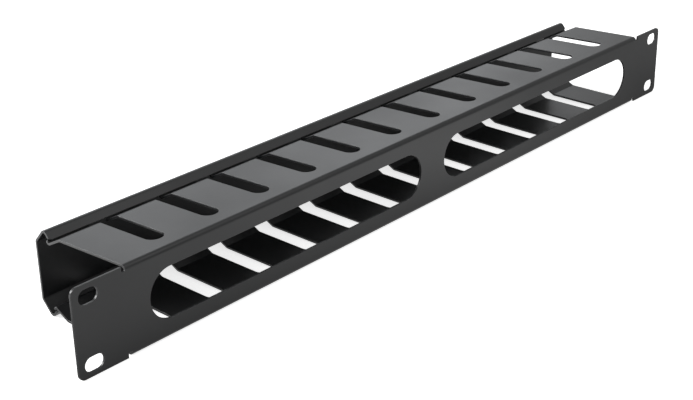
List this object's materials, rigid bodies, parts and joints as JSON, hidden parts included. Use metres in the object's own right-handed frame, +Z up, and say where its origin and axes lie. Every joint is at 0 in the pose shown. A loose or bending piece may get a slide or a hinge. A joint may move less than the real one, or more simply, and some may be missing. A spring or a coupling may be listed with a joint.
{
  "type": "rack cable organizer",
  "caption": "Rack-width cable organizer folded from sheet steel, with long oval front openings, comb-slotted top and bottom plates and a clip-on rear cover.",
  "frame": {"origin": "centre of the four rack slots, on the front face of the panel", "axes": "+X along the panel, +Y from the front face towards the rear cover, +Z up"},
  "size_m": [0.4826, 0.0634, 0.0436],
  "materials": {
    "powder_coat": "fine textured black powder coat, matte to satin"
  },
  "bodies": {
    "tray": {"tray_panel": "powder_coat"},
    "cover": {"rear_cover": "powder_coat"}
  },
  "joints": [
    {"name": "cover_slide", "type": "slide", "parent": "tray", "child": "cover", "axis": [1, 0, 0], "range_m": [-0.43, 0.43]}
  ]
}
